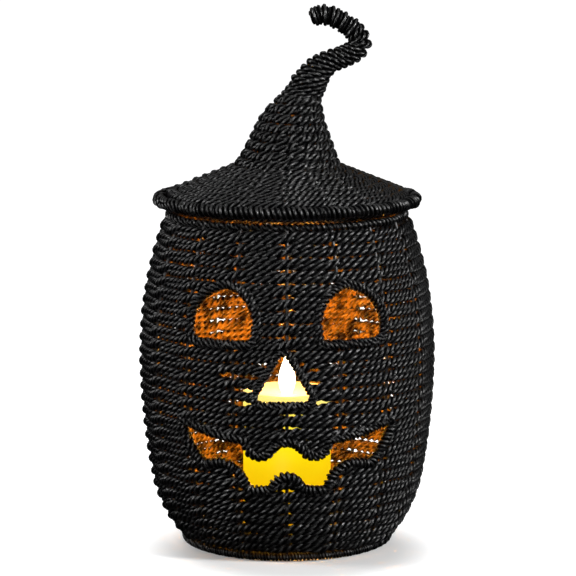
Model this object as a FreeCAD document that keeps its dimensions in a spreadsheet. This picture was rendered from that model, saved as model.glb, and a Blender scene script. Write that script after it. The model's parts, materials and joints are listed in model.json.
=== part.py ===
import FreeCAD, Part
import math
import operator
import os
import Sketcher

# A lidded pumpkin lantern, twined from twisted cord over wire ribs, with a battery candle inside.
# Millimetres, +Z up. The origin is on the ground under the lantern's axis, and the face looks along -Y.

doc = FreeCAD.newDocument("woven_pumpkin_lantern")

# ---------------------------------------------------------------- driving dimensions

DIMENSIONS = {
    # the cords and wires that everything is made of
    "cord_diameter": 5.0,
    "rib_wire_radius": 1.5,
    "hoop_wire_radius": 2.0,
    # the surface that the ribs lie on: three arcs that run into each other, heel, side and shoulder
    "widest_radius": 123.3,
    "widest_height": 165.0,
    "shoulder_arc": 332.5,
    "side_arc": 570.0,
    "heel_arc": 110.0,
    "heel_top": 58.7,
    # the weave, band by band
    "weave_bottom": 8.0,
    "mouth_band_top": 128.0,
    "eye_band_top": 248.0,
    "weave_top": 281.0,
    # wrapped rings
    "base_ring_radius": 88.0,
    "base_ring_height": 3.6,
    "top_ring_radius": 101.2,
    "top_ring_height": 285.0,
    "ring_wrap_radius": 4.0,
    # floor
    "floor_radius": 83.5,
    "floor_bottom": 1.5,
    "floor_top": 7.5,
    # the face
    "border_width": 9.0,
    "eye_inner": 30.0,
    "eye_outer": 76.0,
    "eye_bottom": 194.0,
    "eye_peak": 234.5,
    "eye_peak_out": 48.0,
    "nose_peak": 182.5,
    "nose_bottom": 144.5,
    "nose_half_width": 21.5,
    "nose_middle": -3.0,
    "mouth_corner_out": 84.0,
    "mouth_corner_height": 117.5,
    "mouth_upper_edge": 105.0,
    "mouth_tooth_tip": 92.3,
    "mouth_lower_edge": 71.0,
    "mouth_chin_tooth": 83.7,
    # the lid
    "lid_rim_radius": 110.0,
    "lid_rim_height": 298.0,
    "lid_rim_wrap": 6.0,
    "lid_seat_radius": 96.85,
    "lid_seat_height": 294.35,
    "lid_seat_wrap": 6.0,
    "brim_outer_radius": 105.0,
    "brim_outer_height": 305.0,
    "brim_inner_radius": 46.0,
    "brim_inner_height": 329.0,
    "lid_weave": 9.0,
    "stem_wrap": 8.5,
    "stem_core": 3.0,
    # the candle
    "candle_bottom": 7.8,
    "candle_radius": 38.1,
    "candle_height": 123.5,
    "wax_wall": 4.0,
    "pool_depth": 4.0,
    "flame_height": 34.0,
    "plug_radius": 33.9,
    "plug_height": 4.0,
    "cover_radius": 19.0,
    "cover_height": 3.6,
    "bayonet_reach": 1.6,
    "fit_gap": 0.2,
    "cell_radius": 7.25,
    "cell_length": 50.5,
    "tube_height": 58.0,
    "tube_wall": 1.6,
    "board_radius": 14.0,
    "board_thickness": 1.6,
    "knob_travel": 3.0,
}

RIB_COUNT = 17
LID_RIB_COUNT = 8
SHEET_NAME = "Dimensions"

sheet = doc.addObject("Spreadsheet::Sheet", SHEET_NAME)
for row, (alias, number) in enumerate(DIMENSIONS.items(), start=1):
    sheet.set("A%d" % row, alias)
    sheet.set("B%d" % row, str(number))
    sheet.setAlias("B%d" % row, alias)
doc.recompute()


class Length:
    """A number together with the sheet expression that gives it."""

    def __init__(self, value, text):
        self.value = value
        self.text = text

    def __add__(self, other):
        return combine(operator.add, "+", self, other)

    def __radd__(self, other):
        return combine(operator.add, "+", other, self)

    def __sub__(self, other):
        return combine(operator.sub, "-", self, other)

    def __rsub__(self, other):
        return combine(operator.sub, "-", other, self)

    def __mul__(self, other):
        return combine(operator.mul, "*", self, other)

    def __rmul__(self, other):
        return combine(operator.mul, "*", other, self)

    def __truediv__(self, other):
        return combine(operator.truediv, "/", self, other)


def as_length(number):
    if isinstance(number, Length):
        return number
    return Length(float(number), "(%r)" % float(number))


def combine(operation, sign, left, right):
    left = as_length(left)
    right = as_length(right)
    return Length(operation(left.value, right.value), "(%s %s %s)" % (left.text, sign, right.text))


def root(number):
    return Length(math.sqrt(number.value), "sqrt(%s)" % number.text)


def size(alias):
    return Length(float(sheet.get(alias)), "%s.%s" % (SHEET_NAME, alias))


# ---------------------------------------------------------------- document helpers

nodes = []


def keep(thing, label):
    """Name a finished sub-part and list it for export."""
    thing.Label = label
    nodes.append(thing)
    return thing


def bind(thing, **sizes):
    """Tie properties to sheet expressions."""
    for name, length in sizes.items():
        thing.setExpression(name.replace("_", "."), as_length(length).text)


def flat_point(corner):
    return FreeCAD.Vector(as_length(corner[0]).value, as_length(corner[1]).value, 0)


def pin_value(sketch, kind, references, length):
    """Add a dimension to a sketch and tie it to the sheet."""
    index = sketch.addConstraint(Sketcher.Constraint(kind, *references, length.value))
    sketch.setExpression("Constraints[%d]" % index, length.text)


def draw_profile(sketch, corners, arcs):
    """Draw a closed outline. arcs gives the centre of each curved side by number; the rest are straight."""
    ends = []
    count = len(corners)
    for side, corner in enumerate(corners):
        start = flat_point(corner)
        end = flat_point(corners[(side + 1) % count])
        if side in arcs:
            centre = flat_point(arcs[side])
            anticlockwise = (start - centre).cross(end - centre).z > 0
            first, last = (start, end) if anticlockwise else (end, start)
            circle = Part.Circle(centre, FreeCAD.Vector(0, 0, 1), (start - centre).Length)
            angles = [math.atan2(point.y - centre.y, point.x - centre.x) for point in (first, last)]
            sketch.addGeometry(Part.ArcOfCircle(circle, *angles))
            ends.append((1, 2) if anticlockwise else (2, 1))
        else:
            sketch.addGeometry(Part.LineSegment(start, end))
            ends.append((1, 2))
    for side in range(count):
        following = (side + 1) % count
        sketch.addConstraint(
            Sketcher.Constraint("Coincident", side, ends[side][1], following, ends[following][0]))
    for side, corner in enumerate(corners):
        for kind, length in zip(("DistanceX", "DistanceY"), corner):
            pin_value(sketch, kind, (-1, 1, side, ends[side][0]), as_length(length))
    for side, centre in arcs.items():
        across = as_length(corners[side][0]) - centre[0]
        up = as_length(corners[side][1]) - centre[1]
        pin_value(sketch, "Radius", (side,), root(across * across + up * up))


def body_sketch(body, role, label):
    """A sketch on one of the body's own origin planes."""
    sketch = body.newObject("Sketcher::SketchObject", label)
    plane = next(item for item in body.Origin.OriginFeatures if item.Role == role)
    sketch.AttachmentSupport = [(plane, "")]
    sketch.MapMode = "FlatFace"
    return sketch


def turned_body(label, corners, arcs=None):
    """A body turned about the lantern's axis from a profile of radius and height."""
    body = doc.addObject("PartDesign::Body", label)
    sketch = body_sketch(body, "XZ_Plane", label + "_profile")
    draw_profile(sketch, corners, arcs or {})
    doc.recompute()
    turning = body.newObject("PartDesign::Revolution", label + "_turning")
    turning.Profile = sketch
    turning.ReferenceAxis = (sketch, ["V_Axis"])
    turning.Angle = 360
    body.Tip = turning
    return body


def torus(label, ring_radius, tube_radius, height):
    ring = doc.addObject("Part::Torus", label)
    bind(ring, Radius1=ring_radius, Radius2=tube_radius, Placement_Base_z=height)
    return ring


def cylinder(label, radius, height, base, across=0, sideways=0):
    rod = doc.addObject("Part::Cylinder", label)
    bind(rod, Radius=radius, Height=height,
         Placement_Base_x=across, Placement_Base_y=sideways, Placement_Base_z=base)
    return rod


def box(label, length, width, height, across, sideways, base):
    """A box centred on across and sideways, standing on base."""
    block = doc.addObject("Part::Box", label)
    bind(block, Length=length, Width=width, Height=height,
         Placement_Base_x=across - as_length(length) / 2,
         Placement_Base_y=sideways - as_length(width) / 2, Placement_Base_z=base)
    return block


def boolean(kind, label, base, tool):
    result = doc.addObject("Part::" + kind, label)
    result.Base = base
    result.Tool = tool
    return result


def joined(label, pieces):
    group = doc.addObject("Part::MultiFuse", label)
    group.Shapes = pieces
    return group


def apart(label, pieces):
    """Identical pieces that share a node and stay separate solids."""
    group = doc.addObject("Part::Compound", label)
    group.Links = pieces
    return group


def rounded_path(points):
    """Straight runs joined by tangent arcs, each as large as its shorter run allows."""
    edges = []
    last = points[0]
    for before, corner, after in zip(points, points[1:], points[2:]):
        incoming = (corner - before).normalize()
        outgoing = (after - corner).normalize()
        reach = 0.45 * min((corner - before).Length, (after - corner).Length)
        start = corner - incoming * reach
        end = corner + outgoing * reach
        half_turn = incoming.getAngle(outgoing) / 2
        inward = (outgoing - incoming).normalize()
        radius = reach / math.tan(half_turn)
        middle = corner + inward * (radius / math.cos(half_turn) - radius)
        edges.append(Part.LineSegment(last, start).toShape())
        edges.append(Part.Arc(start, middle, end).toShape())
        last = end
    edges.append(Part.LineSegment(last, points[-1]).toShape())
    return Part.Wire(edges)


def pipe(path, radius):
    """A round wire swept along a path."""
    first = path.OrderedEdges[0]
    start = first.valueAt(first.FirstParameter)
    along = first.tangentAt(first.FirstParameter)
    section = Part.Wire([Part.Circle(start, along, radius).toShape()])
    return path.makePipeShell([section], True, False)


def shape_feature(label, shape, placement=None):
    feature = doc.addObject("Part::Feature", label)
    feature.Shape = shape
    feature.Placement = placement or FreeCAD.Placement()
    return feature


# ---------------------------------------------------------------- the wall's three arcs

def arc_radius(centre, arc, height):
    """Distance from the lantern's axis to an arc at a height."""
    rise = height - centre[1]
    return centre[0] + root(arc * arc - rise * rise)


widest_height = size("widest_height")
heel_top = size("heel_top")
shoulder_centre = (size("widest_radius") - size("shoulder_arc"), widest_height)
side_centre = (size("widest_radius") - size("side_arc"), widest_height)
heel_joint = arc_radius(side_centre, size("side_arc"), heel_top)
heel_share = size("heel_arc") / size("side_arc")
heel_centre = (heel_joint + (side_centre[0] - heel_joint) * heel_share,
               heel_top + (side_centre[1] - heel_top) * heel_share)


def wall_point(centre, arc, offset, height):
    return (arc_radius(centre, size(arc) + offset, as_length(height)), height)


def wall_band(label, centre, arc, low, high):
    """A ring of weave between two heights: one cord outside the ribs and one inside."""
    cord = size("cord_diameter")
    corners = [wall_point(centre, arc, cord, low), wall_point(centre, arc, cord, high),
               wall_point(centre, arc, -1 * cord, high), wall_point(centre, arc, -1 * cord, low)]
    return turned_body(label, corners, {0: centre, 2: centre})


def face_shell(label, outside, inside):
    """The wall's front thickness over the height of the face, as a tool for the borders and wires."""
    low = heel_top
    high = size("weave_top")
    corners = [wall_point(side_centre, "side_arc", outside, low),
               (size("widest_radius") + outside, widest_height),
               wall_point(shoulder_centre, "shoulder_arc", outside, high),
               wall_point(shoulder_centre, "shoulder_arc", -1 * inside, high),
               (size("widest_radius") - inside, widest_height),
               wall_point(side_centre, "side_arc", -1 * inside, low)]
    centres = {0: side_centre, 1: shoulder_centre, 3: shoulder_centre, 4: side_centre}
    return turned_body(label, corners, centres)


# ---------------------------------------------------------------- the face

FACE_START = -40.0
FACE_REACH = 110.0


def face_outline(label, points, arcs):
    """An opening's outline on the plane of the face. arcs gives the point that a curved side passes."""
    sketch = doc.addObject("Sketcher::SketchObject", label)
    sketch.Placement = FreeCAD.Placement(
        FreeCAD.Vector(0, FACE_START, 0), FreeCAD.Rotation(FreeCAD.Vector(1, 0, 0), 90))
    centres = {}
    for side, through in arcs.items():
        start = flat_point(points[side])
        end = flat_point(points[(side + 1) % len(points)])
        middle = Part.Arc(start, FreeCAD.Vector(through[0], through[1], 0), end).toShape().Curve.Center
        centres[side] = (middle.x, middle.y)
    draw_profile(sketch, points, centres)
    return sketch


def eye_outline(label, side):
    """A half dome: flat below, upright beside the nose and sloping down outside."""
    inner = side * size("eye_inner")
    outer = side * size("eye_outer")
    peak = side * size("eye_peak_out")
    spring = size("eye_bottom") + 12
    points = [(inner, size("eye_bottom")), (inner, spring), (peak, size("eye_peak")),
              (outer, size("eye_bottom") + 4), (outer - side * 1.5, size("eye_bottom"))]
    shoulders = {1: (side * 36.0, 227.0), 2: (side * 66.0, 225.5)}
    return face_outline(label, points, shoulders)


def nose_outline(label):
    middle = size("nose_middle")
    half = size("nose_half_width")
    points = [(middle - half, size("nose_bottom")), (middle + half, size("nose_bottom")),
              (middle, size("nose_peak"))]
    return face_outline(label, points, {})


def mouth_outline(label):
    """A grin with two upper teeth and one lower tooth, given for the right half and mirrored."""
    corner = (size("mouth_corner_out"), size("mouth_corner_height"))
    upper = [corner, (38.0, size("mouth_upper_edge") + 1.5), (37.0, 101.0),
             (8.5, 101.5), (4.0, size("mouth_upper_edge"))]
    lower = [(14.5, 75.5), (15.5, size("mouth_lower_edge") + 1), (30.0, size("mouth_lower_edge")),
             (33.0, 82.0), (47.0, 93.5), (61.0, 93.0), (67.5, 90.0), (77.5, 103.0)]
    mirrored_upper = [(-1 * as_length(across), up) for across, up in reversed(upper)]
    mirrored_lower = [(-1 * as_length(across), up) for across, up in reversed(lower)]
    points = upper + mirrored_upper + mirrored_lower + lower
    tooth = size("mouth_tooth_tip").value
    chin = size("mouth_chin_tooth").value
    first_mirrored = len(upper)
    chin_side = 2 * len(upper) + len(lower) - 1
    curves = {0: (61.0, 110.0), 2: (23.0, tooth), first_mirrored + 1: (-23.0, tooth),
              first_mirrored + 3: (-61.0, 110.0), chin_side: (0.0, chin)}
    return face_outline(label, points, curves)


def prism(label, outline, grow):
    """The outline grown outwards by a width and pushed through the front wall."""
    base = outline
    if grow is not None:
        base = doc.addObject("Part::Offset2D", label + "_outline")
        base.Source = outline
        base.Fill = False
        bind(base, Value=grow)
    solid = doc.addObject("Part::Extrusion", label)
    solid.Base = base
    solid.DirMode = "Custom"
    solid.Dir = FreeCAD.Vector(0, -1, 0)
    solid.LengthFwd = FACE_REACH
    solid.Solid = True
    return solid


def opening(name, outline, wrap_shell, wire_shell):
    """One opening: the bent wire round it, and the cord bound over the wire. Returns the cutting tool."""
    width = size("border_width")
    wire = size("rib_wire_radius")
    hole = prism(name + "_hole", outline, None)
    whole = prism(name + "_whole", outline, width)
    wire_outside = prism(name + "_wire_outside", outline, width / 2 + wire)
    wire_inside = prism(name + "_wire_inside", outline, width / 2 - wire)
    wire_ring = boolean("Cut", name + "_wire_ring", wire_outside, wire_inside)
    bent_wire = boolean("Common", name + "_wire", wire_ring, wire_shell)
    keep(bent_wire, name + "_wire")
    border_ring = boolean("Cut", name + "_border_ring", whole, hole)
    border = boolean("Common", name + "_border", border_ring, wrap_shell)
    keep(boolean("Cut", name + "_binding", border, bent_wire), name + "_binding")
    return whole


def make_face():
    wrap_shell = face_shell("border_shell", size("cord_diameter"), size("cord_diameter") - 0.5)
    wire_shell = face_shell("wire_shell", size("rib_wire_radius"), size("rib_wire_radius"))
    outlines = {"left_eye": eye_outline("left_eye_outline", -1),
                "right_eye": eye_outline("right_eye_outline", 1),
                "nose": nose_outline("nose_outline"),
                "mouth": mouth_outline("mouth_outline")}
    tools = [opening(name, outline, wrap_shell, wire_shell) for name, outline in outlines.items()]
    return joined("face_tool", tools)


# ---------------------------------------------------------------- the woven body

def make_body(face_tool):
    bands = {
        "weave_heel": (heel_centre, "heel_arc", size("weave_bottom"), heel_top),
        "weave_mouth": (side_centre, "side_arc", heel_top, size("mouth_band_top")),
        "weave_cheeks": (side_centre, "side_arc", size("mouth_band_top"), widest_height),
        "weave_eyes": (shoulder_centre, "shoulder_arc", widest_height, size("eye_band_top")),
        "weave_shoulder": (shoulder_centre, "shoulder_arc", size("eye_band_top"), size("weave_top")),
    }
    for name, (centre, arc, low, high) in bands.items():
        band = wall_band(name + "_band", centre, arc, low, high)
        if name in ("weave_heel", "weave_shoulder"):
            keep(band, name)
        else:
            keep(boolean("Cut", name + "_cut", band, face_tool), name)


def rib_path():
    """Centre line of a rib in the plane of its radius, from the base hoop to the top hoop."""
    ends = []
    for centre, arc, low, high in (
            (heel_centre, "heel_arc", size("base_ring_height") + 1.5, heel_top),
            (side_centre, "side_arc", heel_top, widest_height),
            (shoulder_centre, "shoulder_arc", widest_height, size("top_ring_height"))):
        heights = (low.value, (low.value + high.value) / 2, high.value)
        ends.append([FreeCAD.Vector(arc_radius(centre, size(arc), as_length(height)).value, 0, height)
                     for height in heights])
    return Part.Wire([Part.Arc(*points).toShape() for points in ends])


def make_ribs(face_tool):
    """Upright wires, evenly spaced, the first in the middle of the face. The face interrupts the front ones."""
    wire = pipe(rib_path(), size("rib_wire_radius").value)
    spacing = 360.0 / RIB_COUNT
    face_ribs = (0, 1, 2, RIB_COUNT - 2, RIB_COUNT - 1)
    for number in range(RIB_COUNT):
        label = "body_rib_%02d" % (number + 1)
        turn = FreeCAD.Rotation(FreeCAD.Vector(0, 0, 1), -90 + number * spacing)
        rib = shape_feature(label + "_wire", wire, FreeCAD.Placement(FreeCAD.Vector(), turn))
        if number in face_ribs:
            rib = boolean("Cut", label + "_cut", rib, face_tool)
        keep(rib, label)


def make_rings():
    """Wire hoops bound with cord: the foot, the mouth of the basket and the woven floor."""
    wire = size("hoop_wire_radius")
    wrap = size("ring_wrap_radius")
    for name in ("base", "top"):
        radius = size(name + "_ring_radius")
        height = size(name + "_ring_height")
        hoop = keep(torus(name + "_hoop_wire", radius, wire, height), name + "_hoop")
        tube = torus(name + "_ring_tube", radius, wrap, height)
        if name == "base":
            ground = cylinder("ground_block", radius + 2 * wrap, wrap, -1 * wrap)
            tube = boolean("Cut", "base_ring_flat", tube, ground)
        keep(boolean("Cut", name + "_ring_cut", tube, hoop), name + "_ring_binding")
    keep(cylinder("floor_disc", size("floor_radius"), size("floor_top") - size("floor_bottom"),
                  size("floor_bottom")), "floor_weave")
    cross = []
    for number in range(2):
        spoke = doc.addObject("Part::Cylinder", "floor_spoke_%d" % (number + 1))
        bind(spoke, Radius=size("rib_wire_radius"), Height=2 * size("base_ring_radius"))
        turn = FreeCAD.Rotation(FreeCAD.Vector(0, 0, 1), 90 * number)
        lie = FreeCAD.Rotation(FreeCAD.Vector(0, 1, 0), 90)
        start = turn.multVec(FreeCAD.Vector(-size("base_ring_radius").value, 0, 4.5))
        spoke.Placement = FreeCAD.Placement(start, turn * lie)
        cross.append(spoke)
    keep(joined("floor_cross_wires", cross), "floor_cross")


# ---------------------------------------------------------------- the lid

# centres and radii of the lid's leaning peak, from the brim up to the stem: across, height, radius
PEAK_RINGS = ((0.0, 326.0, 47.0), (2.0, 338.0, 41.0), (4.0, 365.0, 28.5), (11.5, 387.0, 16.5),
              (17.5, 398.0, 14.0), (22.5, 405.0, 10.5))
# corners of the stem's centre line: across, height
STEM_CORNERS = ((8.5, 378.0), (27.0, 411.5), (57.0, 418.5), (66.0, 431.0), (55.0, 445.0),
                (35.0, 457.5), (22.5, 455.0))


def make_brim():
    rise = size("brim_inner_height") - size("brim_outer_height")
    thick = size("lid_weave")
    corners = [(size("brim_outer_radius"), size("brim_outer_height") - thick),
               (size("brim_outer_radius"), size("brim_outer_height")),
               (size("brim_inner_radius"), size("brim_outer_height") + rise),
               (size("brim_inner_radius"), size("brim_inner_height") - thick)]
    brim = turned_body("brim_cone", corners)
    # the edge of the brim stops a hair short of the cord that binds the rim
    rim = torus("brim_rim_tool", size("lid_rim_radius"), size("lid_rim_wrap") + 0.05, size("lid_rim_height"))
    keep(boolean("Cut", "brim_cut", brim, rim), "lid_brim_weave")


def peak_loft(label, inset):
    rings = []
    for number, (across, height, radius) in enumerate(PEAK_RINGS):
        ring = doc.addObject("Part::Circle", "%s_ring_%d" % (label, number + 1))
        ring.Radius = radius - inset
        ring.Placement = FreeCAD.Placement(FreeCAD.Vector(across, 0, height), FreeCAD.Rotation())
        rings.append(ring)
    loft = doc.addObject("Part::Loft", label)
    loft.Sections = rings
    loft.Solid = True
    loft.Ruled = True
    return loft


def make_peak_and_stem():
    stem_path = rounded_path([FreeCAD.Vector(across, 0, height) for across, height in STEM_CORNERS])
    wrap = size("stem_wrap").value
    core_radius = size("stem_core").value
    tip = FreeCAD.Vector(STEM_CORNERS[-1][0], 0, STEM_CORNERS[-1][1])
    stem = shape_feature("stem_solid", pipe(stem_path, wrap).fuse(Part.makeSphere(wrap, tip)))
    core = keep(shape_feature("stem_core_wire", pipe(stem_path, core_radius)), "stem_wire")
    keep(boolean("Cut", "stem_bound", stem, core), "stem_binding")
    hollow = boolean("Cut", "peak_hollow", peak_loft("peak_outside", 0.0),
                     peak_loft("peak_inside", size("lid_weave").value))
    inner = size("brim_inner_radius")
    outer = size("lid_rim_radius")
    low = size("brim_inner_height") - size("lid_weave") - 6
    high = size("brim_inner_height") + 4
    skirt = turned_body("brim_fit_tool", [(inner, low), (outer, low), (outer, high), (inner, high)])
    fitted = boolean("Cut", "peak_fitted", hollow, skirt)
    keep(boolean("Cut", "peak_cut", fitted, stem), "lid_peak_weave")


def make_lid_ribs():
    """Wires from the rim hoop up the brim and the peak to the foot of the stem."""
    half = size("lid_weave").value / 2
    ribs = []
    for number in range(LID_RIB_COUNT):
        angle = math.radians(22.5 + number * 360.0 / LID_RIB_COUNT)
        points = []
        profile = ((0.0, size("lid_rim_height").value, size("lid_rim_radius").value),
                   (0.0, PEAK_RINGS[0][1] - half + 1, PEAK_RINGS[0][2] - half),
                   (PEAK_RINGS[2][0], PEAK_RINGS[2][1], PEAK_RINGS[2][2] - half - 1),
                   (PEAK_RINGS[3][0] - 1, PEAK_RINGS[3][1] - 1, PEAK_RINGS[3][2] - half - 1))
        for across, height, radius in profile:
            points.append(FreeCAD.Vector(across + radius * math.cos(angle), radius * math.sin(angle), height))
        ribs.append(shape_feature("lid_rib_%d" % (number + 1),
                                  pipe(rounded_path(points), size("rib_wire_radius").value)))
    keep(apart("lid_rib_group", ribs), "lid_ribs")


def make_lid_rings():
    for name in ("rim", "seat"):
        radius = size("lid_%s_radius" % name)
        height = size("lid_%s_height" % name)
        hoop = keep(torus("lid_%s_wire" % name, radius, size("hoop_wire_radius"), height),
                    "lid_%s_hoop" % name)
        tube = torus("lid_%s_tube" % name, radius, size("lid_%s_wrap" % name), height)
        keep(boolean("Cut", "lid_%s_bound" % name, tube, hoop), "lid_%s_binding" % name)


# ---------------------------------------------------------------- the candle

def make_candle():
    bottom = size("candle_bottom")
    top = bottom + size("candle_height")
    radius = size("candle_radius")
    bore = radius - size("wax_wall")
    pool = top - size("pool_depth")
    ceiling = pool - size("wax_wall")
    wick_hole = 4.6
    lip = 1.5
    keep(turned_body("wax_shell", [
        (radius, bottom), (radius, top - lip), (radius - lip, top), (bore + 1, top),
        (bore - 1, pool + 1), (wick_hole, pool), (wick_hole, ceiling), (bore, ceiling), (bore, bottom)],
        {1: (radius - lip, top - lip)}), "candle_shell")
    flange = 7.0
    neck = 4.3
    hollow = 3.1
    flame_tip = top + size("flame_height")
    keep(turned_body("flame_form", [
        (hollow, ceiling - 1.8), (flange, ceiling - 1.8), (flange, ceiling - 0.2),
        (neck, ceiling - 0.2), (neck, pool + 1), (7.6, top + 8), (5.2, top + 18), (0, flame_tip),
        (0, top + 22), (hollow, top + 8)]), "candle_flame")
    make_candle_base(bottom + size("fit_gap"), ceiling)


def sector(label, radius, height, base, start, sweep):
    """A slice of a cylinder."""
    slice_ = cylinder(label, radius, height, base)
    slice_.Angle = sweep
    slice_.Placement.Rotation = FreeCAD.Rotation(FreeCAD.Vector(0, 0, 1), start)
    return slice_


BAYONET_LUGS = (0, 120, 240)
LUG_SWEEP = 30.0
NOTCH_TURN = 45.0
SWITCH_ACROSS = 27.0


def make_candle_base(bottom, ceiling):
    gap = size("fit_gap")
    cover = size("cover_radius")
    reach = size("bayonet_reach")
    plug_top = bottom + size("plug_height")
    lug_low = bottom + 1.6
    lug_high = bottom + 2.8
    mouth = cover + gap
    groove = mouth + reach
    plug = turned_body("plug_form", [
        (mouth, bottom), (size("plug_radius"), bottom), (size("plug_radius"), plug_top),
        (mouth, plug_top), (mouth, lug_high + gap), (groove, lug_high + gap), (groove, lug_low - gap),
        (mouth, lug_low - gap)])
    notches = [sector("notch_%d" % turn, groove, lug_low - bottom, bottom,
                      turn + NOTCH_TURN - 2, LUG_SWEEP + 4) for turn in BAYONET_LUGS]
    knob_length = 4.6
    knob_width = 3.6
    slot = box("switch_slot", knob_length + 2 * gap + size("knob_travel"), knob_width + 2 * gap,
               size("plug_height") + 2, SWITCH_ACROSS, 0, bottom - 1)
    plug = boolean("Cut", "plug_slotted", plug, joined("plug_cuts", notches + [slot]))
    keep(plug, "candle_base")
    make_cover(bottom, lug_low, lug_high - lug_low, cover, reach - gap)
    start = SWITCH_ACROSS - size("knob_travel") / 2
    keep(box("knob_block", knob_length, knob_width, size("plug_height") - 2 * gap, start, 0,
             bottom + gap), "switch_knob")
    keep(box("switch_case", 11, 6, 4, SWITCH_ACROSS, 0, plug_top), "switch_body")
    make_battery_pack(bottom + size("cover_height"), plug_top, ceiling)


def make_cover(bottom, lug_low, lug_height, radius, reach):
    """A round bayonet cover with a slot for a coin."""
    disc = cylinder("cover_disc", radius, size("cover_height"), bottom)
    lugs = [sector("cover_lug_%d" % turn, radius + reach, lug_height, lug_low, turn, LUG_SWEEP)
            for turn in BAYONET_LUGS]
    coin_slot = box("coin_slot", 24, 2.4, 1.2, 0, 0, bottom)
    keep(boolean("Cut", "cover_slotted", joined("cover_with_lugs", [disc] + lugs), coin_slot),
         "battery_cover")


def make_battery_pack(cover_top, plug_top, ceiling):
    """Two cells standing in a tube, bridged below by the cover's plate, and the lamp above them."""
    tube_inside = size("cover_radius") + size("fit_gap")
    tube_outside = tube_inside + size("tube_wall")
    tube_top = plug_top + size("tube_height")
    plate = 2.0
    post_out = 9.0
    post_height = 3.0
    tube = turned_body("tube_form", [
        (tube_inside, plug_top), (tube_outside, plug_top), (tube_outside, tube_top), (0, tube_top),
        (0, tube_top - plate), (tube_inside, tube_top - plate)])
    posts = [cylinder("post_%d" % number, 2.5, post_height, tube_top, side * post_out)
             for number, side in enumerate((-1, 1))]
    bores = [cylinder("post_bore_%d" % number, 0.9, post_height + 1, tube_top - 1, side * post_out)
             for number, side in enumerate((-1, 1))]
    keep(boolean("Cut", "tube_bored", joined("tube_with_posts", [tube] + posts),
                 joined("post_bores", bores)), "battery_tube")

    contact = 0.5
    keep(cylinder("bridge_plate", 16, contact, cover_top), "cover_contact")
    cell_bottom = cover_top + contact + 0.3
    cell = size("cell_radius")
    nub = 1.5
    springs = []
    for number, side in enumerate((-1, 1)):
        across = side * (cell + 0.6)
        can = cylinder("cell_can_%d" % number, cell, size("cell_length") - nub, cell_bottom, across)
        button = cylinder("cell_button_%d" % number, 2.6, nub,
                          cell_bottom + size("cell_length") - nub, across)
        keep(joined("cell_%d" % number, [can, button]), "battery_cell_%d" % (number + 1))
        spring = doc.addObject("Part::Cone", "contact_spring_%d" % number)
        spring_base = cell_bottom + size("cell_length")
        bind(spring, Radius1=2.2, Radius2=4.5, Height=tube_top - plate - spring_base,
             Placement_Base_x=across, Placement_Base_z=spring_base)
        springs.append(spring)
    keep(apart("contact_spring_pair", springs), "contact_springs")

    board_bottom = tube_top + post_height
    board = cylinder("board_disc", size("board_radius"), size("board_thickness"), board_bottom)
    holes = [cylinder("board_hole_%d" % number, 0.9, 4, board_bottom - 1, side * post_out)
             for number, side in enumerate((-1, 1))]
    keep(boolean("Cut", "board_drilled", board, joined("board_holes", holes)), "circuit_board")
    board_top = board_bottom + size("board_thickness")
    screws = []
    for number, side in enumerate((-1, 1)):
        shank = cylinder("screw_shank_%d" % number, 0.9, size("board_thickness") + post_height,
                         tube_top, side * post_out)
        head = cylinder("screw_head_%d" % number, 2.0, 1.2, board_top, side * post_out)
        screws.append(joined("screw_%d" % number, [shank, head]))
    keep(apart("board_screw_pair", screws), "board_screws")

    stalk_top = ceiling - 6
    keep(cylinder("stalk_rod", 2.9, stalk_top - board_top, board_top), "lamp_stalk")
    lamp_body = cylinder("lamp_body", 2.5, 5, stalk_top)
    dome = doc.addObject("Part::Sphere", "lamp_dome")
    bind(dome, Radius=2.5, Placement_Base_z=stalk_top + 5)
    keep(joined("lamp_form", [lamp_body, dome]), "led_lamp")


# ---------------------------------------------------------------- build, check and write

def check(document):
    for item in document.Objects:
        for state in ("Invalid", "Error"):
            if state in item.State:
                raise RuntimeError("%s is %s" % (item.Label, state))
    for node in nodes:
        if node.Shape.isNull() or not node.Shape.isValid() or not node.Shape.Solids:
            raise RuntimeError("%s has no valid solid" % node.Label)


def main():
    face_tool = make_face()
    make_body(face_tool)
    make_ribs(face_tool)
    make_rings()
    make_brim()
    make_peak_and_stem()
    make_lid_ribs()
    make_lid_rings()
    make_candle()
    doc.recompute()
    check(doc)
    os.makedirs("parts", exist_ok=True)
    for node in nodes:
        node.Shape.exportStep("parts/%s.step" % node.Label)
        print("%-22s solids %2d volume %10.1f" % (node.Label, len(node.Shape.Solids), node.Shape.Volume))
    print("nodes", len(nodes))


main()
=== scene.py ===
import json
import math

import bmesh
import bpy
from mathutils import Matrix, Vector, noise

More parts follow.
